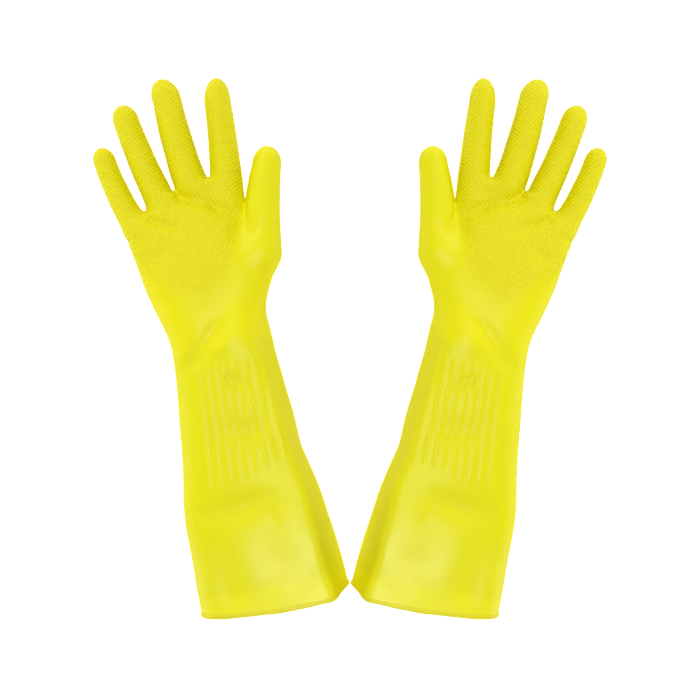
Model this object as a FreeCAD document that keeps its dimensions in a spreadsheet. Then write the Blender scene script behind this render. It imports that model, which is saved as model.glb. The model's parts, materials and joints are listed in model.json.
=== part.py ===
"""A pair of long household rubber gloves, lying palms up, fingers towards +Y, in millimetres.

One right-hand glove is built in its own axes: X across the hand, Y along it from the cuff's mouth
to the fingertips with Y = 0 at the wrist, Z up from the table. It is then turned and moved to its
place, and the left-hand glove is its mirror image. A glove is one dipped latex film with a flock
lining, so every piece is a stretch of that film, or of its lining, between two bends.
"""

import FreeCAD, Part
import Sketcher
import math
import os

V = FreeCAD.Vector

# Sections of the sleeve and palm, from the cuff's mouth to the finger roots.
SECTION_FIELDS = ("along", "left", "right", "low", "high")
SECTIONS = {
    "mouth": (-212.0, -55.5, 53.9, 1.7, 45.0),
    "hem": (-190.0, -55.0, 53.0, -1.5, 46.0),
    "flare": (-150.0, -54.8, 50.2, -1.5, 45.0),
    "ribs_end": (-110.0, -49.0, 42.0, -1.5, 43.0),
    "ribs_middle": (-75.0, -44.2, 40.6, -1.5, 42.0),
    "ribs_start": (-40.0, -39.2, 37.6, -1.5, 41.0),
    "wrist": (-8.0, -37.4, 36.9, -1.5, 40.0),
    "heel": (22.0, -43.4, 45.5, -1.5, 39.5),
    "palm": (46.0, -47.4, 52.0, -1.5, 37.0),
    "upper_palm": (66.0, -50.0, 47.0, -1.0, 31.5),
    "webs": (80.0, -52.5, 42.5, 1.0, 25.5),
    "crotches": (90.0, -53.0, 39.0, 2.8, 20.5),
}
SLEEVE = tuple(SECTIONS)

# The thinner web that joins the ring, middle and index fingers beyond the palm.
SECTIONS["web_root"] = (78.0, -33.0, 40.5, 2.4, 23.0)
SECTIONS["web_edge"] = (103.6, -31.0, 38.5, 6.5, 18.5)
WEB = ("web_root", "web_edge")

# Each digit: where the centre of its root and of its rounded end are across and along the hand, how
# high they are and their radii, then how far along the hand a finger bends at the knuckle and middle.
DIGIT_FIELDS = (
    "root_across", "root_along", "root_high", "root_radius",
    "end_across", "end_along", "end_high", "end_radius",
    "knuckle", "middle_joint",
)
DIGITS = {
    "little": (-42.6, 71.0, 11.6, 10.6, -56.2, 138.6, 9.2, 8.4, 92.0, 115.0),
    "ring": (-13.9, 50.0, 12.9, 11.9, -34.6, 164.6, 10.7, 9.9, 104.5, 133.0),
    "middle": (7.2, 50.0, 14.1, 13.2, -1.4, 176.4, 11.8, 11.0, 108.3, 140.0),
    "index": (25.6, 50.0, 13.2, 12.5, 36.4, 169.2, 10.9, 10.2, 108.3, 137.0),
    "thumb": (43.2, 46.0, 17.5, 13.6, 62.8, 110.6, 13.5, 11.0),
}

SIZES = {
    "latex": 0.6,
    "flock": 0.3,
    "bend_gap": 0.3,
    "bead_radius": 2.0,
    "lining_end": -200.0,
    "wrist_bend": -6.0,
    "hinge_high": 19.5,
    "wrist_gore_angle": 31.0,
    "wrist_gap": 1.2,
    "thumb_knuckle_across": 41.7,
    "thumb_knuckle_along": 87.0,
    "thumb_base_length": 19.0,
    "rib_count": 9,
    "rib_width": 3.2,
    "rib_high": 0.45,
    "rib_start": -32.0,
    "rib_length": 84.0,
    "rib_first": -19.0,
    "rib_last": 29.0,
    "rib_fan": 2.2,
    "glove_turn": 12.155,
    "glove_x": -100.1,
    "glove_y": 18.8,
    "reach": 320.0,
    "tall": 90.0,
}

doc = FreeCAD.newDocument("rubber_gloves")
sheet = doc.addObject("Spreadsheet::Sheet", "Sizes")


def fill_sheet():
    """Writes every driving dimension to the sheet, each under its own alias."""
    cells = dict(SIZES)
    for table, fields in ((SECTIONS, SECTION_FIELDS), (DIGITS, DIGIT_FIELDS)):
        for name, values in table.items():
            cells.update({f"{name}_{field}": value for field, value in zip(fields, values)})
    for row, (alias, value) in enumerate(cells.items(), start=1):
        sheet.set(f"A{row}", alias)
        sheet.set(f"B{row}", str(value))
        sheet.setAlias(f"B{row}", alias)
    doc.recompute()


def size(alias):
    return float(sheet.get(alias))


def feature(kind, name, **expressions):
    """A document object whose named sizes follow expressions over the sheet's cells."""
    made = doc.addObject(kind, name)
    for prop, expression in expressions.items():
        made.setExpression(prop.replace("__", "."), expression)
    return made


def boolean(kind, name, *shapes):
    made = doc.addObject(kind, name)
    if kind == "Part::Cut":
        made.Base, made.Tool = shapes
    else:
        made.Shapes = list(shapes)
    return made


def block(name, x, y, z, length, width, height, turn=0.0):
    """A box from its low corner, each size an expression, turned about Z at that corner."""
    made = feature("Part::Box", name, Length=length, Width=width, Height=height,
                   Placement__Base__x=x, Placement__Base__y=y, Placement__Base__z=z)
    made.Placement.Rotation = FreeCAD.Rotation(V(0, 0, 1), turn)
    return made


# How far each surface stands in from the glove's outer surface.
LAYERS = {
    "skin": "0",
    "flock": "Sizes.latex",
    "space": "(Sizes.latex + Sizes.flock)",
}
RIBS = "(-Sizes.rib_high)"


def loft(name, sections, inset):
    """A solid through upright ellipses. Its last section stands in too, which closes the far end."""
    upright = FreeCAD.Rotation(V(1, 0, 0), 90)
    rings = []
    for section in sections:
        s = f"Sizes.{section}"
        back = inset if section == sections[-1] else "0"
        ring = feature(
            "Part::Ellipse", f"{name}_{section}",
            MajorRadius=f"({s}_right - {s}_left) / 2 - {inset}",
            MinorRadius=f"({s}_high - {s}_low) / 2 - {inset}",
            Placement__Base__x=f"({s}_right + {s}_left) / 2",
            Placement__Base__y=f"{s}_along - {back}",
            Placement__Base__z=f"({s}_high + {s}_low) / 2",
        )
        ring.Placement.Rotation = upright
        rings.append(ring)
    made = doc.addObject("Part::Loft", name)
    made.Sections = rings
    made.Solid = True
    made.Ruled = False
    return made


def digit_line(name):
    """A digit's root centre and fingertip centre."""
    ends = [
        V(size(f"{name}_{end}_across"), size(f"{name}_{end}_along"), size(f"{name}_{end}_high"))
        for end in ("root", "end")
    ]
    return ends[0], ends[1]


def digit_profile(body, name, layer):
    """Half a digit's outline: a taper between two round ends, its axis up the sketch."""
    root, end = digit_line(name)
    length = (end - root).Length
    radii = [size(f"{name}_{which}_radius") for which in ("root", "end")]
    lean = math.asin((radii[0] - radii[1]) / length)
    round_ends = [Part.Circle(V(0, high, 0), V(0, 0, 1), radius)
                  for high, radius in zip((0, length), radii)]
    sketch = body.newObject("Sketcher::SketchObject", f"{name}_outline_{layer}")
    sketch.AttachmentSupport = [(body.Origin.OriginFeatures[4], "")]
    sketch.MapMode = "FlatFace"
    corners = [V(r * math.cos(lean), y + r * math.sin(lean), 0) for y, r in zip((0, length), radii)]
    sketch.addGeometry([
        Part.ArcOfCircle(round_ends[0], -math.pi / 2, lean),
        Part.LineSegment(*corners),
        Part.ArcOfCircle(round_ends[1], lean, math.pi / 2),
        Part.LineSegment(V(0, length + radii[1], 0), V(0, -radii[0], 0)),
    ])
    sketch.addConstraint([
        Sketcher.Constraint("Coincident", 0, 3, -1, 1),
        Sketcher.Constraint("PointOnObject", 2, 3, -2),
        Sketcher.Constraint("Tangent", 0, 2, 1, 1),
        Sketcher.Constraint("Tangent", 1, 2, 2, 1),
        Sketcher.Constraint("Coincident", 2, 2, 3, 1),
        Sketcher.Constraint("Coincident", 3, 2, 0, 1),
        Sketcher.Constraint("PointOnObject", 3, 1, -2),
        Sketcher.Constraint("PointOnObject", 3, 2, -2),
    ])
    sizes = {
        "root_radius": (Sketcher.Constraint("Radius", 0, radii[0]),
                        f"Sizes.{name}_root_radius - {LAYERS[layer]}"),
        "end_radius": (Sketcher.Constraint("Radius", 2, radii[1]),
                       f"Sizes.{name}_end_radius - {LAYERS[layer]}"),
        "length": (Sketcher.Constraint("DistanceY", 0, 3, 2, 3, length), f"{length}"),
    }
    for label, (constraint, expression) in sizes.items():
        sketch.renameConstraint(sketch.addConstraint(constraint), label)
        sketch.setExpression(f"Constraints.{label}", expression)
    return sketch


def digit(name, layer):
    """One finger or the thumb as a solid, from inside the palm to its tip."""
    root, end = digit_line(name)
    body = doc.addObject("PartDesign::Body", f"{name}_{layer}")
    sketch = digit_profile(body, name, layer)
    turned = body.newObject("PartDesign::Revolution", f"{name}_turned_{layer}")
    turned.Profile = sketch
    turned.ReferenceAxis = (sketch, ["V_Axis"])
    turned.Angle = 360
    body.Placement = FreeCAD.Placement(root, FreeCAD.Rotation(V(0, 0, 1), end - root))
    return body


def floor_cutter(layer):
    """Everything below a layer's flat underside."""
    inset = LAYERS[layer]
    return block(f"floor_{layer}", "-Sizes.reach / 2", "-Sizes.reach", f"{inset} - Sizes.tall",
                 "Sizes.reach", "2 * Sizes.reach", "Sizes.tall")


def thumb_turn():
    """How far the thumb leans across the hand, in degrees about Z."""
    root, end = digit_line("thumb")
    return -math.degrees(math.atan2(end.x - root.x, end.y - root.y))


def thumb_block(name, start, length):
    """A stretch of the thumb's strip, from start mm beyond its root bend."""
    turn = thumb_turn()
    lean = math.radians(turn)
    return block(name, f"Sizes.thumb_knuckle_across - ({start}) * {math.sin(lean)}",
                 f"Sizes.thumb_knuckle_along + ({start}) * {math.cos(lean)}", "-5",
                 "Sizes.reach", length, "Sizes.tall", turn)


def across_block(name, start, length):
    """A stretch across the whole hand, from start to start + length along it."""
    return block(name, "-Sizes.reach / 2", start, "-5", "Sizes.reach", length, "Sizes.tall")


def bends(name):
    """The blocks that part a digit: everything beyond its knuckle, its base, and its tip."""
    gap = "Sizes.bend_gap / 2"
    if name == "thumb":
        base = "Sizes.thumb_base_length"
        return (thumb_block("thumb_beyond", f"-{gap}", "Sizes.reach"),
                thumb_block("thumb_base_zone", gap, f"{base} - Sizes.bend_gap"),
                thumb_block("thumb_tip_zone", f"{base} + {gap}", "Sizes.reach"))
    knuckle, middle = f"Sizes.{name}_knuckle", f"Sizes.{name}_middle_joint"
    return (across_block(f"{name}_beyond", f"{knuckle} - {gap}", "Sizes.reach"),
            across_block(f"{name}_base_zone", f"{knuckle} + {gap}",
                         f"{middle} - {knuckle} - Sizes.bend_gap"),
            across_block(f"{name}_tip_zone", f"{middle} + {gap}", "Sizes.reach"))


def wrist_prism(name, points):
    """A prism across the whole wrist, from its outline in the Y-Z plane."""
    reach = size("reach")
    wire = Part.makePolygon([V(-reach / 2, y, z) for y, z in points + points[:1]])
    made = doc.addObject("Part::Feature", name)
    made.Shape = Part.Face(wire).extrude(V(reach, 0, 0))
    return made


def wrist_zones():
    """The hand's side of the wrist, the gores that take up the bend, and the cuff's side.

    Each side falls back from the hinge line above and below it, so that the hand can bend both ways.
    """
    y, z, tall, reach = (size(a) for a in ("wrist_bend", "hinge_high", "tall", "reach"))
    half = size("wrist_gap") / 2
    fall = half + tall * math.tan(math.radians(size("wrist_gore_angle")))
    waist, spread = half - size("bend_gap"), fall - size("bend_gap")
    hand = wrist_prism("hand_zone", [
        (y + half, z), (y + fall, z + tall), (y + reach, z + tall),
        (y + reach, z - tall), (y + fall, z - tall)])
    gores = wrist_prism("gore_zone", [
        (y + waist, z), (y + spread, z + tall), (y - spread, z + tall),
        (y - waist, z), (y - spread, z - tall), (y + spread, z - tall)])
    cuff = wrist_prism("cuff_zone", [
        (y - half, z), (y - fall, z - tall), (y - reach, z - tall),
        (y - reach, z + tall), (y - fall, z + tall)])
    return hand, gores, cuff


def bead():
    """The rolled bead round the cuff's mouth, centred on the end of the film."""
    s = "Sizes.mouth"
    path = feature(
        "Part::Ellipse", "bead_path",
        MajorRadius=f"({s}_right - {s}_left - Sizes.latex) / 2",
        MinorRadius=f"({s}_high - {s}_low - Sizes.latex) / 2",
        Placement__Base__x=f"({s}_right + {s}_left) / 2",
        Placement__Base__y=f"{s}_along",
        Placement__Base__z=f"({s}_high + {s}_low) / 2",
    )
    path.Placement.Rotation = FreeCAD.Rotation(V(1, 0, 0), 90)
    section = feature("Part::Circle", "bead_section", Radius="Sizes.bead_radius",
                      Placement__Base__x=f"{s}_right - Sizes.latex / 2",
                      Placement__Base__y=f"{s}_along",
                      Placement__Base__z=f"({s}_high + {s}_low) / 2")
    roll = doc.addObject("Part::Sweep", "bead_roll")
    roll.Sections, roll.Spine = [section], (path, ["Edge1"])
    roll.Solid, roll.Frenet = True, True
    return roll


def ribs():
    """The ribs along the top of the sleeve, fanned out towards the cuff."""
    raised = loft("raised", SLEEVE, RIBS)
    count = int(size("rib_count"))
    slabs = []
    for number in range(count):
        share = number / (count - 1)
        across = f"Sizes.rib_first + {share} * (Sizes.rib_last - Sizes.rib_first)"
        turn = 180 + size("rib_fan") * (1 - 2 * share)
        slabs.append(block(f"rib_slab{number}", f"{across} + Sizes.rib_width / 2", "Sizes.rib_start",
                           "Sizes.hinge_high", "Sizes.rib_width", "Sizes.rib_length",
                           "Sizes.tall", turn))
    lines = boolean("Part::MultiFuse", "rib_lines", *slabs)
    return boolean("Part::MultiCommon", "ribs", raised, lines)


def glove():
    """Every piece of the right-hand glove in its own axes, {node: object}."""
    digits = {name: {layer: digit(name, layer) for layer in LAYERS} for name in DIGITS}
    zones = {name: bends(name) for name in DIGITS}
    hand_zone, gore_zone, cuff_zone = wrist_zones()
    floors = {layer: floor_cutter(layer) for layer in LAYERS}
    outer, inner = {}, {}
    for layer in LAYERS:
        palm = [loft(f"sleeve_{layer}", SLEEVE, LAYERS[layer]),
                loft(f"web_{layer}", WEB, LAYERS[layer])]
        stubs = [boolean("Part::Cut", f"{name}_stub_{layer}", digits[name][layer], zones[name][0])
                 for name in DIGITS]
        whole = boolean("Part::MultiFuse", f"open_{layer}", *palm, *stubs)
        outer[layer] = boolean("Part::Cut", f"laid_open_{layer}", whole, floors[layer])
        whole = boolean("Part::MultiFuse", f"full_{layer}", *palm,
                        *[digits[name][layer] for name in DIGITS])
        inner[layer] = boolean("Part::Cut", f"laid_full_{layer}", whole, floors[layer])
    ribbed = boolean("Part::MultiFuse", "ribbed_skin", outer["skin"], ribs())
    stops = {"": across_block("film_stop", "Sizes.mouth_along + Sizes.bead_radius - Sizes.reach",
                              "Sizes.reach"),
             "_lining": across_block("lining_stop", "Sizes.lining_end - Sizes.reach",
                                     "Sizes.reach")}
    made = {}
    for ending, outside, inside in (("", "skin", "flock"), ("_lining", "flock", "space")):
        solid = ribbed if ending == "" else outer[outside]
        trunk = boolean("Part::Cut", f"trunk{ending}", solid, inner[inside])
        made[f"hand{ending or '_shell'}"] = boolean(
            "Part::MultiCommon", f"hand{ending}", trunk, hand_zone)
        made[f"wrist_gores{ending}"] = boolean(
            "Part::MultiCommon", f"gores{ending}", trunk, gore_zone)
        cuff = boolean("Part::MultiCommon", f"cuff{ending}", trunk, cuff_zone)
        made[f"gauntlet{ending}"] = boolean(
            "Part::Cut", f"gauntlet{ending}", cuff, stops[ending])
        for name in DIGITS:
            stall = boolean("Part::Cut", f"{name}_film{ending}",
                            digits[name][outside], digits[name][inside])
            for part, zone in zip(("base", "tip"), zones[name][1:]):
                made[f"{name}_{part}{ending}"] = boolean(
                    "Part::MultiCommon", f"{name}_{part}{ending}", stall, zone)
    made["cuff_bead"] = bead()
    return made


def place_pair(pieces):
    """Puts the right-hand glove in its place and mirrors it for the left hand."""
    turned = FreeCAD.Rotation(V(0, 0, 1), size("glove_turn"))
    place = FreeCAD.Placement(V(size("glove_x"), size("glove_y"), 0), turned)
    nodes = []
    for name, piece in pieces.items():
        piece.Label = f"right_{name}"
        piece.Placement = place
        other = doc.addObject("Part::Mirroring", f"left_{name}")
        other.Source, other.Normal, other.Base = piece, V(1, 0, 0), V(0, 0, 0)
        other.Label = f"left_{name}"
        nodes += [piece, other]
    return nodes


def check(nodes):
    """Stops if any object failed to recompute, or a piece isn't a sound solid."""
    for made in doc.Objects:
        if {"Invalid", "Error"} & set(made.State):
            raise RuntimeError(f"{made.Label} failed: {made.State}")
    for node in nodes:
        shape = node.Shape
        if shape.isNull() or not shape.isValid() or not shape.Solids or shape.Volume <= 0:
            raise RuntimeError(f"{node.Label} is not a sound solid")


def main():
    fill_sheet()
    nodes = place_pair(glove())
    doc.recompute()
    check(nodes)
    os.makedirs("parts", exist_ok=True)
    for node in nodes:
        node.Shape.exportStep(f"parts/{node.Label}.step")
        print(node.Label, len(node.Shape.Solids), "solids,", round(node.Shape.Volume), "mm3")


main()
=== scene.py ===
"""The looks of a pair of long household rubber gloves, palms up on a pale floor.

Each glove is one smooth skin found from a field of distances, in the glove's own axes in millimetres:
u across the hand towards the thumb, v along it from the cuff's mouth (v below 0) to the fingertips,
and z up. The skin is parted at the digits' bends, so that each piece crosses one joint, and the
left-hand glove is the right-hand one mirrored.
"""

import itertools
import json
import math

import bpy
import numpy as np
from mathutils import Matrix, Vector


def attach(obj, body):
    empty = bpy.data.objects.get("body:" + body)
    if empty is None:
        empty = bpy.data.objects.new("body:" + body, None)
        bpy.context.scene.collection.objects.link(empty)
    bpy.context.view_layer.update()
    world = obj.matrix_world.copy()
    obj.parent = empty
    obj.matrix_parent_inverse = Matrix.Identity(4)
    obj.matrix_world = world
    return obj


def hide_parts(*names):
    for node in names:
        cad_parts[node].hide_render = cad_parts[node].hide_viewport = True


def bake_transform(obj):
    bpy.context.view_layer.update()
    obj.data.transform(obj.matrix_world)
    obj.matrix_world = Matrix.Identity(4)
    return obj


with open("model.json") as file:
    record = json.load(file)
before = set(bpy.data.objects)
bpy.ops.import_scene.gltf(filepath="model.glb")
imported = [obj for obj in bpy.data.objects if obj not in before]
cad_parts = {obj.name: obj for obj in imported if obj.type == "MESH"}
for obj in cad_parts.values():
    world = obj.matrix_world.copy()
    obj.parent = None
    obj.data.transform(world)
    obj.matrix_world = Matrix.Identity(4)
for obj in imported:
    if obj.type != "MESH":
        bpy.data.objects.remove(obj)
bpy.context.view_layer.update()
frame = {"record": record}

MM = 0.001
# The step of the grid that the skin is found on, and how far to each side its slope is measured, in mm.
CELL = 1.25
SLOPE_STEP = 0.25
GRID_LOW, GRID_HIGH = (-72.0, -224.0, -3.0), (82.0, 196.0, 52.0)
# How high the skin's lowest faces are and how widely they're rounded off, the latex's thickness and how
# far inside the skin the flock is, in mm.
FLOOR, FLOOR_ROUNDING = 0.35, 2.5
LATEX_THICK, FLOCK_INSIDE = 0.6, 0.9

# The sleeve's sections from mouth to palm, in mm: along, left, right, low, high, squareness.
SLEEVE = np.array([
    (-226.0, -57.2, 55.8, 0.6, 44.0, 2.5),
    (-212.0, -56.6, 54.5, 0.3, 44.4, 2.5),
    (-194.0, -56.2, 54.6, -0.6, 45.6, 2.5),
    (-170.0, -55.5, 52.2, -1.5, 45.4, 2.5),
    (-146.0, -55.0, 49.6, -1.5, 44.8, 2.5),
    (-132.0, -53.7, 47.8, -1.5, 44.2, 2.5),
    (-120.0, -51.0, 45.0, -1.5, 43.6, 2.5),
    (-106.0, -48.4, 41.5, -1.5, 43.2, 2.5),
    (-80.0, -44.8, 40.8, -1.5, 42.4, 2.5),
    (-56.0, -41.5, 38.8, -1.5, 41.6, 2.5),
    (-32.0, -38.0, 37.2, -1.5, 40.8, 2.4),
    (-14.0, -37.0, 36.8, -1.5, 40.0, 2.3),
    (0.0, -38.4, 37.4, -1.5, 39.6, 2.2),
    (12.0, -42.0, 41.0, -1.5, 39.4, 2.2),
    (24.0, -44.8, 48.4, -1.5, 39.0, 2.2),
    (36.0, -47.3, 52.4, -1.5, 38.0, 2.2),
    (50.0, -49.2, 53.0, -1.5, 35.6, 2.2),
    (64.0, -51.2, 46.0, -1.0, 32.5, 2.2),
    (74.0, -52.2, 39.5, 0.2, 29.5, 2.2),
    (86.0, -53.2, 36.5, 1.5, 26.5, 2.2),
    (110.0, -52.0, 34.0, 4.5, 22.5, 2.2),
])
# The fold along the thumb's side of the cuff, in mm: along, across.
RIDGE = np.array([
    (-225.0, 46.0), (-215.0, 44.2), (-203.0, 42.4), (-185.0, 41.2), (-157.0, 40.6), (-134.0, 39.4),
    (-122.0, 37.6), (-110.0, 35.7), (-86.0, 33.4), (-63.0, 31.0), (-39.0, 28.2), (-27.0, 25.8),
    (-10.0, 24.0),
])
# The cuff's shape gives way to the hand's over this stretch. Its top leans, by so much for each mm from
# LEAN_FROM, and a slanting plane cuts off its thumb side, from the ridge down to right + PLANE_OUT.
CUFF_FADE = (-26.0, 4.0)
LEAN, LEAN_FROM = 0.11, -12.0
CUFF_WIDER, PLANE_DROP, PLANE_FOOT, PLANE_OUT, PLANE_UP = 4.5, 3.0, 14.0, 0.9, 0.5

PALM_END = 91.5
# The flesh between the fingers' roots, in mm.
WEB_START = 70.0
WEBS = [
    {"left": -29.0, "right": 10.0, "low": 3.0, "high": 23.5, "end": 102.6},
    {"left": 2.0, "right": 36.0, "low": 3.0, "high": 24.0, "end": 107.0},
]

# Each digit, in mm: the centres of its root and of its tip's curve, its radii there, its bow to the
# right and how long the tip's curve is.
DIGITS = {
    "little": ((-42.3, 79.0, 11.4), (-57.6, 136.4, 9.6), 10.4, 8.3, -2.1, 11.0),
    "ring": ((-10.4, 50.0, 13.2), (-35.3, 162.5, 10.9), 12.6, 9.8, -1.8, 13.3),
    "middle": ((16.0, 50.0, 14.6), (-2.0, 173.5, 12.0), 14.5, 10.8, -4.8, 15.4),
    "index": ((19.4, 50.0, 13.8), (35.0, 162.0, 11.2), 13.9, 10.1, 2.4, 19.0),
    "thumb": ((43.6, 45.0, 17.5), (62.1, 109.4, 13.5), 15.8, 11.0, -1.4, 13.2),
}

# How widely the parts of the skin melt into each other, in mm. The thumb's blend narrows from its first
# to its last value between the two ends of THUMB_FREE.
FINGER_BLEND, WEB_BLEND, PALM_BLEND = 2.2, 4.0, 7.0
THUMB_BLEND, THUMB_FREE = (8.0, 1.3), (64.0, 80.0)

# The right-hand glove's own axes in the frame, from its wrist's hinge.
JOINTS = {joint["name"]: joint for joint in frame["record"]["behaviour"]["joints"]}
ACROSS = np.array(JOINTS["right_wrist_bend"]["axis"])
ALONG = np.array([-ACROSS[1], ACROSS[0], 0.0])
HINGE_ALONG = -6.0
WRIST = np.array(JOINTS["right_wrist_bend"]["pos_m"]) * [1, 1, 0] - ALONG * HINGE_ALONG * MM


def to_glove(point):
    """A point of the frame, in metres, in the right-hand glove's own axes in mm."""
    offset = (np.array(point) - WRIST) / MM
    return np.array([offset @ ACROSS, offset @ ALONG, offset[2]])


def to_frame(points):
    """Points of the right-hand glove, in mm, in the frame in metres."""
    points = np.asarray(points, float)
    return WRIST + MM * (points[:, :1] * ACROSS + points[:, 1:2] * ALONG
                         + points[:, 2:] * np.array([0.0, 0.0, 1.0]))


def smooth_min(a, b, k):
    h = np.maximum(k - np.abs(a - b), 0) / k
    return np.minimum(a, b) - h * h * k / 4


def smooth_max(a, b, k):
    return -smooth_min(-a, -b, k)


def smooth_step(x, low, high):
    t = np.clip((x - low) / (high - low), 0, 1)
    return t * t * (3 - 2 * t)


def smooth_table(table, step=0.5):
    """The table's columns against its first one, smoothed so that no section shows."""
    spread, reach = 5.0, 40
    along = np.arange(table[0, 0], table[-1, 0] + step, step)
    columns = [along]
    weights = np.exp(-0.5 * (np.arange(-reach, reach + 1) * step / spread) ** 2)
    weights /= weights.sum()
    for column in table.T[1:]:
        values = np.interp(along, table[:, 0], column)
        padded = np.pad(values, reach, mode="edge")
        columns.append(np.convolve(padded, weights, mode="valid"))
    return columns


SLEEVE_AT = smooth_table(SLEEVE)


def oval(u, z, left, right, low, high, power):
    """About how far (u, z) is outside a rounded box-like oval."""
    a, b = (right - left) / 2, (high - low) / 2
    x = np.abs(u - (left + right) / 2) / a + 1e-6
    y = np.abs(z - (low + high) / 2) / b + 1e-6
    s = (x ** power + y ** power) ** (1 / power)
    slope = s ** (1 - power) * np.hypot(x ** (power - 1) / a, y ** (power - 1) / b)
    return (s - 1) / slope


def ridge_line(v):
    """Where the fold along the thumb's side of the cuff runs."""
    return np.interp(v, RIDGE[:, 0], RIDGE[:, 1])


def sleeve_field(u, v, z):
    """The cuff, the wrist and the palm."""
    left, right, low, high, power = (np.interp(v, SLEEVE_AT[0], c) for c in SLEEVE_AT[1:])
    cuff = 1 - smooth_step(v, *CUFF_FADE)
    lean = LEAN * cuff * (u - LEAN_FROM) * np.clip(z / high, 0, 1.2)
    body = oval(u, z - lean, left, right + CUFF_WIDER * cuff, low, high, power)
    crest = ridge_line(v)
    rise, run = high - PLANE_DROP - PLANE_FOOT, right + PLANE_OUT - crest
    side = ((u - crest) * rise + (z - high - PLANE_UP) * run) / np.hypot(rise, run)
    body = body + cuff * (smooth_max(body, side, 4.0) - body)
    return smooth_max(body, v - PALM_END, 12.0)


def web_field(web, u, v, z):
    """The flesh between two fingers' roots."""
    squareness, rounding = 2.4, 5.0
    d = oval(u, z, web["left"], web["right"], web["low"], web["high"], squareness)
    d = smooth_max(d, v - web["end"], rounding)
    return smooth_max(d, WEB_START - v, rounding)


def digit_field(name, u, v, z):
    """A tapered, bowed finger with a rounded tip."""
    root, end, thick, thin, bow, tip = DIGITS[name]
    root, end = np.array(root), np.array(end)
    d = end - root
    length = np.linalg.norm(d)
    d = d / length
    side = np.array([d[1], -d[0], 0.0]) / np.hypot(d[0], d[1])
    whole = ((u - root[0]) * d[0] + (v - root[1]) * d[1] + (z - root[2]) * d[2]) / length
    s = np.clip(whole, 0, 1)
    bend = bow * 4 * s * (1 - s)
    px = u - root[0] - d[0] * length * whole - side[0] * bend
    py = v - root[1] - d[1] * length * whole - side[1] * bend
    pz = z - root[2] - d[2] * length * whole
    beyond = (whole - s) * length * np.where(whole > 1, thin / tip, 1)
    radius = thick + (thin - thick) * s
    return np.sqrt(px * px + py * py + pz * pz + beyond * beyond) - radius


def from_line(u, v, points):
    """The distance to a line of points across the glove, and how far along it, from 0 to 1."""
    soft = 1.5
    away = np.zeros(np.shape(u))
    for (au, av), (bu, bv) in zip(points, points[1:]):
        du, dv = bu - au, bv - av
        t = np.clip(((u - au) * du + (v - av) * dv) / (du * du + dv * dv), 0, 1)
        away += np.exp(-np.hypot(u - au - t * du, v - av - t * dv) / soft)
    (au, av), (bu, bv) = points[0], points[-1]
    du, dv = bu - au, bv - av
    where = np.clip(((u - au) * du + (v - av) * dv) / (du * du + dv * dv), 0, 1)
    return np.maximum(-soft * np.log(away + 1e-30), 0), where


# The folds and the raised lines come in over these heights, in mm.
TOP_SIDE = (9.0, 17.0)
# Folds of the top side, in mm: depth (below 0 for a raised one), width, the share of its length over
# which each end fades, and the line it follows.
FOLDS = [
    (2.6, 8.0, (0.3, 0.6), ((39.0, 79.0), (21.0, 45.0))),
    (3.0, 4.2, (0.1, 0.25), ((-12.0, 101.0), (5.0, 91.5), (22.0, 81.0), (34.5, 71.0))),
    (2.2, 3.6, (0.1, 0.7), ((-35.5, 86.5), (-14.0, 74.5), (4.0, 68.0))),
    (0.7, 2.6, (0.3, 0.5), ((35.0, 56.0), (57.5, 68.0))),
    (1.8, 2.2, (0.05, 0.6), ((-57.0, 73.5), (-38.0, 74.5))),
    (1.0, 5.0, (0.4, 0.6), ((-46.0, 54.0), (-10.0, 62.0))),
    (3.6, 6.5, (0.25, 0.35), ((-31.0, -33.0), (11.0, 6.0))),
    (-3.2, 9.5, (0.4, 0.45), ((32.0, 14.0), (-4.0, -29.0))),
    (1.7, 4.8, (0.4, 0.5), ((-5.0, -37.0), (17.0, -56.0))),
    (2.2, 10.0, (0.4, 0.4), ((-26.0, -76.0), (30.0, -88.0))),
    (3.6, 9.5, (0.3, 0.5), ((-50.0, -141.0), (36.0, -134.0))),
    (0.7, 5.0, (0.5, 0.5), ((7.0, -136.0), (15.0, -160.0))),
    (1.4, 13.0, (0.5, 0.5), ((-14.0, -182.0), (38.0, -186.0))),
    (2.2, 10.0, (0.4, 0.2), ((-36.0, -140.0), (-30.0, -214.0))),
]
# The raised lines of the cuff, in mm: where the first and last are at their top and foot.
RIBS = {"count": 9, "top": (-19.5, 29.0), "foot": (-28.0, 30.5), "start": -31.0, "end": -116.0,
        "height": 0.62, "width": 1.25, "slant": 0.18, "middle": 2.0}


def ribs_field(u, v):
    """The raised lines of the cuff, fanned out towards its mouth."""
    t = (v - RIBS["start"]) / (RIBS["end"] - RIBS["start"])
    first = RIBS["top"][0] + t * (RIBS["foot"][0] - RIBS["top"][0])
    last = RIBS["top"][1] + t * (RIBS["foot"][1] - RIBS["top"][1])
    place = (u - first) / (last - first) * (RIBS["count"] - 1)
    nearest = np.clip(np.round(place), 0, RIBS["count"] - 1)
    gap = (place - nearest) * (last - first) / (RIBS["count"] - 1)
    slant = RIBS["slant"] * (u - RIBS["middle"])
    ends = smooth_step(v, RIBS["end"] - 3 + slant, RIBS["end"] + 5 + slant)
    ends = ends * (1 - smooth_step(v, RIBS["start"] - 4, RIBS["start"] + 3))
    return RIBS["height"] * np.exp(-(gap / RIBS["width"]) ** 2) * ends


def waves(u, v, z):
    """The slow unevenness of a dipped film."""
    return (0.30 * np.sin(u / 9.0 + 1.3 + 0.6 * np.sin(v / 23.0)) * np.sin(v / 14.0 + 0.4)
            + 0.18 * np.sin(u / 5.3 - v / 8.1 + 2.1) * np.sin(z / 7.0 + v / 19.0))


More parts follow.
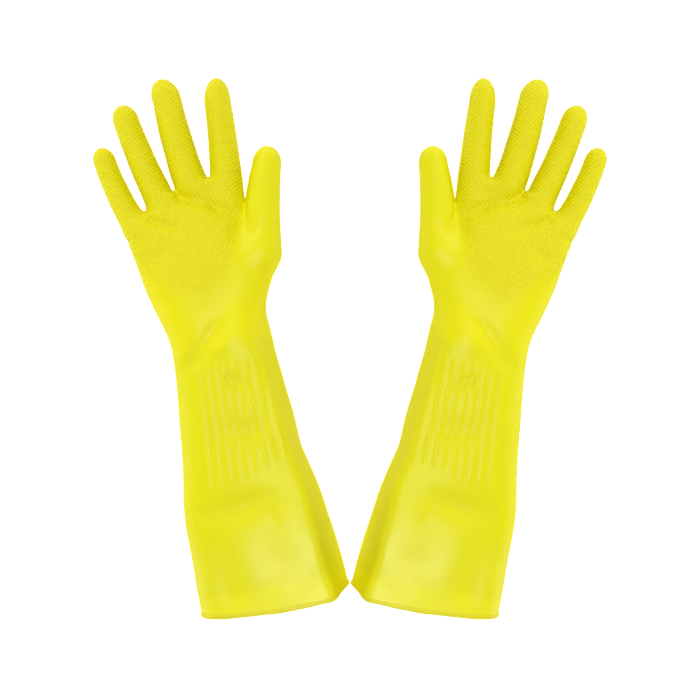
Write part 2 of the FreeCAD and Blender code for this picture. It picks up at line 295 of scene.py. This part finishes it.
def skin_field(u, v, z):
    """Below 0 inside the glove's outer surface."""
    fingers = digit_field("little", u, v, z)
    for name in ("ring", "middle", "index"):
        fingers = smooth_min(fingers, digit_field(name, u, v, z), FINGER_BLEND)
    for web in WEBS:
        fingers = smooth_min(fingers, web_field(web, u, v, z), WEB_BLEND)
    d = smooth_min(sleeve_field(u, v, z), fingers, PALM_BLEND)
    wide, narrow = THUMB_BLEND
    blend = wide - (wide - narrow) * smooth_step(v, *THUMB_FREE)
    d = smooth_min(d, digit_field("thumb", u, v, z), blend)
    top = smooth_step(z, *TOP_SIDE)
    d = d - ribs_field(u, v) * top
    for depth, width, (fade_in, fade_out), line in FOLDS:
        away, where = from_line(u, v, line)
        fade = smooth_step(where, -0.01, fade_in) * (1 - smooth_step(where, 1 - fade_out, 1.01))
        d = d + depth * np.exp(-(away / width) ** 2) * fade * top
    d = d + waves(u, v, z)
    return smooth_max(d, FLOOR - z, FLOOR_ROUNDING)


def gradient(points):
    axes = np.eye(3) * SLOPE_STEP
    out = np.stack([skin_field(*(points + a).T) - skin_field(*(points - a).T) for a in axes], 1)
    return out / (2 * SLOPE_STEP)


def face_out(points, faces, normals):
    """Turns round the faces that look inwards."""
    a, b, c, d = (points[faces[:, k]] for k in range(4))
    facing = np.sum(np.cross(c - a, d - b) * normals[faces[:, 0]], 1)
    faces[facing < 0] = faces[facing < 0][:, ::-1]


def find_skin():
    """The outer surface as quads (surface nets), its points moved on to the surface."""
    axes = [np.arange(a, b + CELL, CELL) for a, b in zip(GRID_LOW, GRID_HIGH)]
    field = skin_field(*np.meshgrid(*axes, indexing="ij"))
    inside = field < 0
    shape = np.array(field.shape) - 1
    corners = list(itertools.product((0, 1), repeat=3))
    count = sum(inside[i:i + shape[0], j:j + shape[1], k:k + shape[2]].astype(int)
                for i, j, k in corners)
    active = (count > 0) & (count < 8)
    index = np.full(active.shape, -1)
    cells = np.argwhere(active)
    index[active] = np.arange(len(cells))
    place, hits = np.zeros((len(cells), 3)), np.zeros(len(cells))
    for a, b in itertools.combinations(corners, 2):
        if sum(abs(x - y) for x, y in zip(a, b)) != 1:
            continue
        fa, fb = (field[tuple((cells + c).T)] for c in (a, b))
        cross = (fa < 0) != (fb < 0)
        t = fa / np.where(cross, fa - fb, 1)
        place[cross] += (np.array(a) + t[:, None] * (np.array(b) - np.array(a)))[cross]
        hits[cross] += 1
    points = np.array(GRID_LOW) + CELL * (cells + place / hits[:, None])
    quads = []
    for axis in range(3):
        others = [k for k in range(3) if k != axis]
        edge = np.argwhere(inside != np.roll(inside, -1, axis))
        keep = edge[:, axis] < inside.shape[axis] - 1
        for k in others:
            keep &= (edge[:, k] > 0) & (edge[:, k] < inside.shape[k] - 1)
        edge = edge[keep]
        around = []
        for da, db in ((0, 0), (1, 0), (1, 1), (0, 1)):
            cell = edge.copy()
            cell[:, others[0]] -= da
            cell[:, others[1]] -= db
            around.append(index[tuple(cell.T)])
        around = np.stack(around, 1)
        flip = inside[tuple(edge.T)] == (axis != 1)
        around[flip] = around[flip][:, ::-1]
        quads.append(around)
    quads = np.concatenate(quads)
    for _ in range(4):
        slope = gradient(points)
        points = points - skin_field(*points.T)[:, None] * slope / np.sum(slope ** 2, 1)[:, None]
    slope = gradient(points)
    normals = slope / np.linalg.norm(slope, axis=1)[:, None]
    face_out(points, quads, normals)
    return points, normals, quads


# The cuff's mouth, in mm: where its lower edge is, how far its upper edge, RIM_HIGH up, reaches out
# beyond that, and how far its thumb side does.
RIM_AT, RIM_OUT, RIM_HIGH, RIM_SIDE = -209.4, 8.0, 45.0, 0.9


def rim(u, z):
    """How far along the mouth's edge is."""
    upper = np.clip(z / RIM_HIGH, 0, 1) ** 2
    return RIM_AT - RIM_OUT * upper - RIM_SIDE * smooth_step(u, -40.0, 20.0)


def digit_stations(name):
    """A digit's knuckle and middle bend, and the way it points, in its own axes."""
    knuckle, middle = (to_glove(JOINTS[f"right_{name}_{bend}"]["pos_m"])
                       for bend in ("curl", "end_curl"))
    axis = np.array(JOINTS[f"right_{name}_curl"]["axis"])
    turn = np.array([axis @ ACROSS, axis @ ALONG])
    return knuckle, middle, np.array([-turn[1], turn[0], 0.0])


STATIONS = {name: digit_stations(name) for name in DIGITS}
# How far before a digit's middle bend its tip starts, and how far across the thumb starts, in mm.
SEAM = 6.0
THUMB_FROM = 40.0


def part_skin(points, quads):
    """Which piece each face belongs to: -1 for the sleeve, 2k for digit k's base and 2k+1 its tip."""
    centre = points[quads].mean(1)
    fields = np.stack([digit_field(name, *centre.T) for name in DIGITS])
    nearest = fields.argmin(0)
    owner = np.full(len(quads), -1)
    for k, name in enumerate(DIGITS):
        knuckle, middle, way = STATIONS[name]
        mine = (nearest == k) & ((centre - knuckle) @ way > 0)
        if name == "thumb":
            mine &= centre[:, 0] > THUMB_FROM
        owner[mine] = 2 * k
        owner[mine & ((centre - middle) @ way > -SEAM)] = 2 * k + 1
    return owner


def add_values(mesh, name, values):
    """One number for each point of a mesh, for its material."""
    made = mesh.attributes.new(name, "FLOAT", "POINT")
    made.data.foreach_set("value", values.astype(np.float32))


def make_object(name, points, faces, normals, side, look):
    """A mesh of part of a glove, mirrored for the left hand."""
    used, faces = np.unique(faces, return_inverse=True)
    faces = faces.reshape(-1, 4)
    points, normals = points[used], normals[used]
    place = to_frame(points)
    turned = normals[:, :1] * ACROSS + normals[:, 1:2] * ALONG + normals[:, 2:] * np.array([0, 0, 1.0])
    if side == "left":
        place = place * [-1, 1, 1]
        turned = turned * [-1, 1, 1]
        faces = faces[:, ::-1]
    mesh = bpy.data.meshes.new(f"{side}_{name}")
    mesh.from_pydata(place.tolist(), [], faces.tolist())
    mesh.polygons.foreach_set("use_smooth", np.ones(len(faces), bool))
    at = mesh.attributes.new("glove_mm", "FLOAT_VECTOR", "POINT")
    at.data.foreach_set("vector", points.astype(np.float32).ravel())
    level = np.abs(normals[:, 2])
    sheen_share = 1 - SHEEN_LOSS * smooth_step(points[:, 1], *SHEEN_FADES)
    add_values(mesh, "grip", grip_mask(points, normals))
    # Painted sheen: gloss is raised on level faces and towards the cuff's mouth.
    add_values(mesh, "painted_sheen", sheen_share * smooth_step(level, *LEVEL_SHEEN))
    # Painted shade: sloping faces get a deeper colour.
    add_values(mesh, "steep_shade", 1 - smooth_step(level, *LEVEL_SHADE_ENDS))
    mesh.normals_split_custom_set_from_vertices(turned.tolist())
    mesh.update()
    made = bpy.data.objects.new(f"{side}_{name}", mesh)
    bpy.context.scene.collection.objects.link(made)
    GLOVES[side].objects.link(made)
    mesh.materials.append(look)
    return made


def grip_mask(points, normals):
    """1 where the palm side carries the grip pattern."""
    u, v, z = points.T
    up = smooth_step(normals[:, 2], -0.05, 0.40)
    thumb = digit_field("thumb", u, v, z)
    rest = np.minimum.reduce([digit_field(n, u, v, z) for n in DIGITS if n != "thumb"])
    heel = smooth_step(v - 0.55 * np.abs(u + 6.0), -2.0, 34.0)
    thenar = smooth_step(rest - thumb, -9.0, 3.0) * smooth_step(v, 20.0, 40.0)
    return up * heel * (1 - thenar)


# The bead's radius, how far under the skin its middle runs and its lowest height, in mm.
BEAD_RADIUS, BEAD_UNDER_SKIN, BEAD_FLOOR = 1.85, 0.8, 0.15
# A point inside the cuff, level with its middle, that the skin is looked for from.
CUFF_MIDDLE = (0.0, 0.0, 22.0)


def bead_mesh(sides=14, steps=260):
    """The rolled bead that follows the mouth of the cuff."""
    angle = np.linspace(0, 2 * math.pi, steps, endpoint=False)
    centre = np.array(CUFF_MIDDLE)
    way = np.stack([np.cos(angle), np.zeros(steps), np.sin(angle)], 1)
    low, high = np.full(steps, 5.0), np.full(steps, 80.0)
    for _ in range(30):
        reach = (low + high) / 2
        p = centre + way * reach[:, None]
        p[:, 1] = rim(p[:, 0], p[:, 2])
        out = skin_field(*p.T) > -BEAD_UNDER_SKIN
        high, low = np.where(out, reach, high), np.where(out, low, reach)
    path = centre + way * reach[:, None]
    path[:, 1] = rim(path[:, 0], path[:, 2])
    length = np.linalg.norm(np.roll(path, -1, 0) - path, axis=1).cumsum()
    even = np.linspace(0, length[-1], steps, endpoint=False)
    path = np.stack([np.interp(even, np.r_[0, length], np.r_[path[:, k], path[0, k]])
                     for k in range(3)], 1)
    tangent = np.roll(path, -1, 0) - np.roll(path, 1, 0)
    tangent /= np.linalg.norm(tangent, axis=1)[:, None]
    outward = np.cross([0.0, 1.0, 0.0], tangent)
    outward /= np.linalg.norm(outward, axis=1)[:, None]
    outward *= np.sign(np.sum(outward * (path - path.mean(0)), 1))[:, None]
    back = np.cross(tangent, outward)
    t = np.linspace(0, 2 * math.pi, sides, endpoint=False)
    around = np.arange(steps) * 2 * math.pi / steps
    thick = BEAD_RADIUS + 0.12 * np.sin(5 * around + 1.0) + 0.08 * np.sin(13 * around)
    ring = (np.cos(t)[None, :, None] * outward[:, None] + np.sin(t)[None, :, None] * back[:, None])
    points = path[:, None] + ring * thick[:, None, None]
    points[:, :, 2] = np.maximum(points[:, :, 2], BEAD_FLOOR)
    i, j = np.meshgrid(np.arange(steps), np.arange(sides), indexing="ij")
    faces = np.stack([i * sides + j, (i + 1) % steps * sides + j,
                      (i + 1) % steps * sides + (j + 1) % sides, i * sides + (j + 1) % sides], -1)
    points, normals, faces = points.reshape(-1, 3), ring.reshape(-1, 3), faces.reshape(-1, 4)
    face_out(points, faces, normals)
    return points, normals, faces


# Materials

# Painted sheen: the gloss is full from the cuff's mouth to the first of these, in mm along, and less
# past the second by the share that follows them.
SHEEN_FADES, SHEEN_LOSS = (-176.0, -144.0), 0.55
# How level a face is, from 0 to 1, where its painted sheen comes in and where the painted shade of
# sloping faces ends.
LEVEL_SHEEN, LEVEL_SHADE_ENDS = (0.35, 0.85), (0.15, 0.75)
# The most and the least gloss, and what the grip pattern takes off it.
GLOSS, LEAST_GLOSS, GRIP_DULLS = 0.54, 0.02, 0.10
# From one groove of the grip pattern to the next, in mm.
PITCH = 2.5


def node(tree, kind, **settings):
    made = tree.nodes.new(kind)
    for name, value in settings.items():
        if name.startswith("in_"):
            made.inputs[int(name[3:])].default_value = value
        else:
            setattr(made, name, value)
    return made


def math_node(tree, operation, a, b=None):
    """An operation on one or two numbers or sockets."""
    made = node(tree, "ShaderNodeMath", operation=operation)
    for k, value in enumerate((a, b)):
        if value is None:
            continue
        if isinstance(value, (int, float)):
            made.inputs[k].default_value = value
        else:
            tree.links.new(value, made.inputs[k])
    return made.outputs[0]


def material(name):
    made = bpy.data.materials.new(name)
    made.use_nodes = True
    return made, made.node_tree, made.node_tree.nodes["Principled BSDF"]


def noise(tree, where, scale, detail=2.0):
    made = node(tree, "ShaderNodeTexNoise")
    made.inputs["Scale"].default_value = scale
    made.inputs["Detail"].default_value = detail
    tree.links.new(where, made.inputs["Vector"])
    return made.outputs["Fac"]


def attribute(tree, name, output="Fac"):
    return node(tree, "ShaderNodeAttribute", attribute_name=name).outputs[output]


def mixed(tree, first, second, share):
    """A colour, or a socket that gives one, mixed with a second colour."""
    made = node(tree, "ShaderNodeMix", data_type="RGBA")
    if isinstance(first, tuple):
        made.inputs["A"].default_value = (*first, 1)
    else:
        tree.links.new(first, made.inputs["A"])
    made.inputs["B"].default_value = (*second, 1)
    tree.links.new(share, made.inputs["Factor"])
    return made.outputs["Result"]


def bumped(tree, height, strength, distance, before=None):
    """A bump, in metres, on top of the one before it."""
    made = node(tree, "ShaderNodeBump")
    made.inputs["Strength"].default_value = strength
    made.inputs["Distance"].default_value = distance
    tree.links.new(height, made.inputs["Height"])
    if before is not None:
        tree.links.new(before, made.inputs["Normal"])
    return made.outputs["Normal"]


def stripes(tree, along, across, operation):
    """Waves a pitch apart, slanting over the glove."""
    place = math_node(tree, operation, along, across)
    return math_node(tree, "SINE", math_node(tree, "MULTIPLY", place, 2 * math.pi / PITCH))


def grip_height(tree, place, grip):
    """The palm's grip pattern: two crossing sets of waves."""
    parts = node(tree, "ShaderNodeSeparateXYZ")
    tree.links.new(place, parts.inputs[0])
    u, v = parts.outputs["X"], parts.outputs["Y"]
    one = stripes(tree, math_node(tree, "MULTIPLY", u, 0.92), math_node(tree, "MULTIPLY", v, 0.5), "ADD")
    two = stripes(tree, math_node(tree, "MULTIPLY", u, 0.5), math_node(tree, "MULTIPLY", v, 0.92),
                  "SUBTRACT")
    both = math_node(tree, "ADD", math_node(tree, "MULTIPLY", one, 0.6), two)
    return math_node(tree, "MULTIPLY", both, grip)


def latex_material(name, pale, deep):
    """Smooth rubber, deeper in colour in the grip pattern, with painted shade in the pattern's hollows
    and on sloping sides and a painted sheen where its gloss is raised.
    """
    made, tree, shader = material(name)
    place = attribute(tree, "glove_mm", "Vector")
    grip, painted_sheen, steep_shade = (attribute(tree, kind) for kind in ("grip", "painted_sheen", "steep_shade"))
    height = grip_height(tree, place, grip)
    # Painted shade: the grip pattern's hollows are darker in colour.
    groove_shade = math_node(tree, "MAXIMUM", math_node(tree, "MULTIPLY", height, -0.22), 0.0)
    colour = mixed(tree, deep, pale, noise(tree, place, 0.045, 3.0))
    colour = mixed(tree, colour, (0.92, 0.83, 0.002), math_node(tree, "MULTIPLY", grip, 0.6))
    colour = mixed(tree, colour, (0.80, 0.69, 0.003), groove_shade)
    # Painted shade: the colour deepens on sloping faces.
    colour = mixed(tree, colour, (0.78, 0.68, 0.004), math_node(tree, "MULTIPLY", steep_shade, 0.4))
    tree.links.new(colour, shader.inputs["Base Color"])
    rough = node(tree, "ShaderNodeMapRange", in_3=0.36, in_4=0.46)
    tree.links.new(noise(tree, place, 0.12, 3.0), rough.inputs["Value"])
    tree.links.new(rough.outputs["Result"], shader.inputs["Roughness"])
    shader.inputs["Subsurface Weight"].default_value = 0.15
    shader.inputs["Subsurface Radius"].default_value = (1.0, 0.8, 0.15)
    shader.inputs["Subsurface Scale"].default_value = 0.004
    # Painted sheen: the specular level is higher on level faces and towards the cuff's mouth.
    level = math_node(tree, "SUBTRACT", GLOSS, math_node(tree, "MULTIPLY", grip, GRIP_DULLS))
    level = math_node(tree, "ADD", math_node(tree, "MULTIPLY", painted_sheen, level), LEAST_GLOSS)
    tree.links.new(level, shader.inputs["Specular IOR Level"])
    pattern = bumped(tree, height, 0.55, 0.00034)
    fine = bumped(tree, noise(tree, place, 0.9, 3.0), 0.25, 0.0001, pattern)
    tree.links.new(fine, shader.inputs["Normal"])
    return made


def flock_material():
    """The short cotton fibres of the lining."""
    made, tree, shader = material("flock")
    place = attribute(tree, "glove_mm", "Vector")
    colour = mixed(tree, (0.86, 0.80, 0.20), (0.93, 0.89, 0.38), noise(tree, place, 1.6, 4.0))
    tree.links.new(colour, shader.inputs["Base Color"])
    shader.inputs["Roughness"].default_value = 0.95
    shader.inputs["Sheen Weight"].default_value = 0.4
    fibres = bumped(tree, noise(tree, place, 2.2, 4.0), 0.6, 0.0003)
    tree.links.new(fibres, shader.inputs["Normal"])
    return made


LATEX = latex_material("latex", (0.93, 0.875, 0.006), (0.91, 0.85, 0.004))
# The bead is deeper in colour: partly the thicker rolled rubber's own tone, partly painted shade of its
# far side.
BEAD = latex_material("bead", (0.82, 0.75, 0.004), (0.78, 0.70, 0.003))
FLOCK = flock_material()


# Building both gloves


# The skin's stretches, in mm along: where it shows from inside the cuff, and where the flock lies.
INSIDE_TO, FLOCK_FROM, FLOCK_TO = -20.0, -200.0, 60.0


def build():
    """The pieces of both gloves; the bead rides its cuff's body."""
    points, normals, quads = find_skin()
    edge = rim(points[:, 0], points[:, 2])
    quads = quads[(points[quads][:, :, 1] > edge[quads]).all(1)]
    owner = part_skin(points, quads)
    sleeve = quads[owner == -1]
    along = points[sleeve][:, :, 1].mean(1)
    within = sleeve[along < INSIDE_TO][:, ::-1] + len(points)
    inner = points - LATEX_THICK * normals
    skin_points = np.concatenate([points, inner])
    skin_normals = np.concatenate([normals, -normals])
    lining = sleeve[(along > FLOCK_FROM) & (along < FLOCK_TO)][:, ::-1]
    bead_points, bead_normals, bead_faces = bead_mesh()
    for side in ("right", "left"):
        cuff, hand = f"{side}_cuff", f"{side}_hand"
        skin = make_object("skin", skin_points, np.concatenate([sleeve, within]), skin_normals,
                           side, LATEX)
        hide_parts(f"{side}_gauntlet", f"{side}_hand_shell", f"{side}_wrist_gores")
        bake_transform(skin)
        flock = make_object("flock", points - FLOCK_INSIDE * normals, lining, -normals, side, FLOCK)
        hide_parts(*(f"{side}_{n}_lining" for n in ("gauntlet", "hand", "wrist_gores")))
        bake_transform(flock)
        roll = make_object("bead", bead_points, bead_faces, bead_normals, side, BEAD)
        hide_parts(f"{side}_cuff_bead")
        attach(roll, cuff)
        for k, name in enumerate(DIGITS):
            base = make_object(f"{name}_stall", points, quads[owner == 2 * k], normals, side,
                               LATEX)
            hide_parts(f"{side}_{name}_base", f"{side}_{name}_base_lining")
            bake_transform(base)
            tip = make_object(f"{name}_end", points, quads[owner == 2 * k + 1], normals, side,
                              LATEX)
            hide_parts(f"{side}_{name}_tip", f"{side}_{name}_tip_lining")
            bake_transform(tip)


# Camera, floor and light

def camera():
    """Straight above the gloves, with a frame 0.525 m wide at 1.4 m from it."""
    sensor, distance, width, height = 36.0, 1.4, 0.525, 1.42
    data = bpy.data.cameras.new("camera")
    made = bpy.data.objects.new("camera", data)
    bpy.context.scene.collection.objects.link(made)
    made.location = (0, -0.0018, height)
    data.sensor_width = sensor
    data.lens = sensor * distance / width
    bpy.context.scene.camera = made


def floor():
    """A white floor with low white walls far off, so that it has no dark horizon."""
    mesh = bpy.data.meshes.new("floor")
    reach, height = 6.0, 1.3
    corners = [(-reach, -reach), (reach, -reach), (reach, reach), (-reach, reach)]
    mesh.from_pydata([(x, y, z) for z in (0, height) for x, y in corners], [],
                     [(0, 1, 2, 3)] + [(k, k + 4, (k + 1) % 4 + 4, (k + 1) % 4) for k in range(4)])
    made = bpy.data.objects.new("floor", mesh)
    bpy.context.scene.collection.objects.link(made)
    look, tree, shader = material("floor")
    shader.inputs["Base Color"].default_value = (0.82, 0.82, 0.82, 1)
    shader.inputs["Roughness"].default_value = 0.9
    shader.inputs["Specular IOR Level"].default_value = 0.0
    shader.inputs["Emission Color"].default_value = (1, 1, 1, 1)
    shader.inputs["Emission Strength"].default_value = 0.78
    mesh.materials.append(look)


def light(name, place, aim, size, power, lit=None):
    """A soft rectangular light. With lit, it lights only that collection."""
    data = bpy.data.lights.new(name, "AREA")
    data.shape = "RECTANGLE"
    data.size, data.size_y = size
    data.energy = power
    made = bpy.data.objects.new(name, data)
    bpy.context.scene.collection.objects.link(made)
    made.location = place
    made.rotation_euler = (Vector(aim) - Vector(place)).to_track_quat("-Z", "Y").to_euler()
    if lit:
        made.light_linking.receiver_collection = lit


def lights():
    """A dim white world, a light from above, a fill and each glove's own key light."""
    world = bpy.data.worlds.new("studio")
    bpy.context.scene.world = world
    world.use_nodes = True
    background = world.node_tree.nodes["Background"]
    background.inputs["Color"].default_value = (1, 1, 1, 1)
    background.inputs["Strength"].default_value = 0.15
    light("overhead", (0, -0.10, 1.7), (0, -0.1, 0), (1.0, 0.9), 16.7)
    light("fill", (0, -0.52, 0.45), (0, -0.12, 0), (0.4, 0.3), 0.25)
    for side, sign in (("right", -1), ("left", 1)):
        light(f"key_{side}", (sign * 0.95, 1.35, 1.15), (sign * 0.1, 0, 0), (0.8, 0.8), 9.5,
              GLOVES[side])
    bpy.context.scene.view_settings.view_transform = "Standard"


GLOVES = {side: bpy.data.collections.new(f"{side}_glove") for side in ("right", "left")}
camera()
floor()
lights()
build()
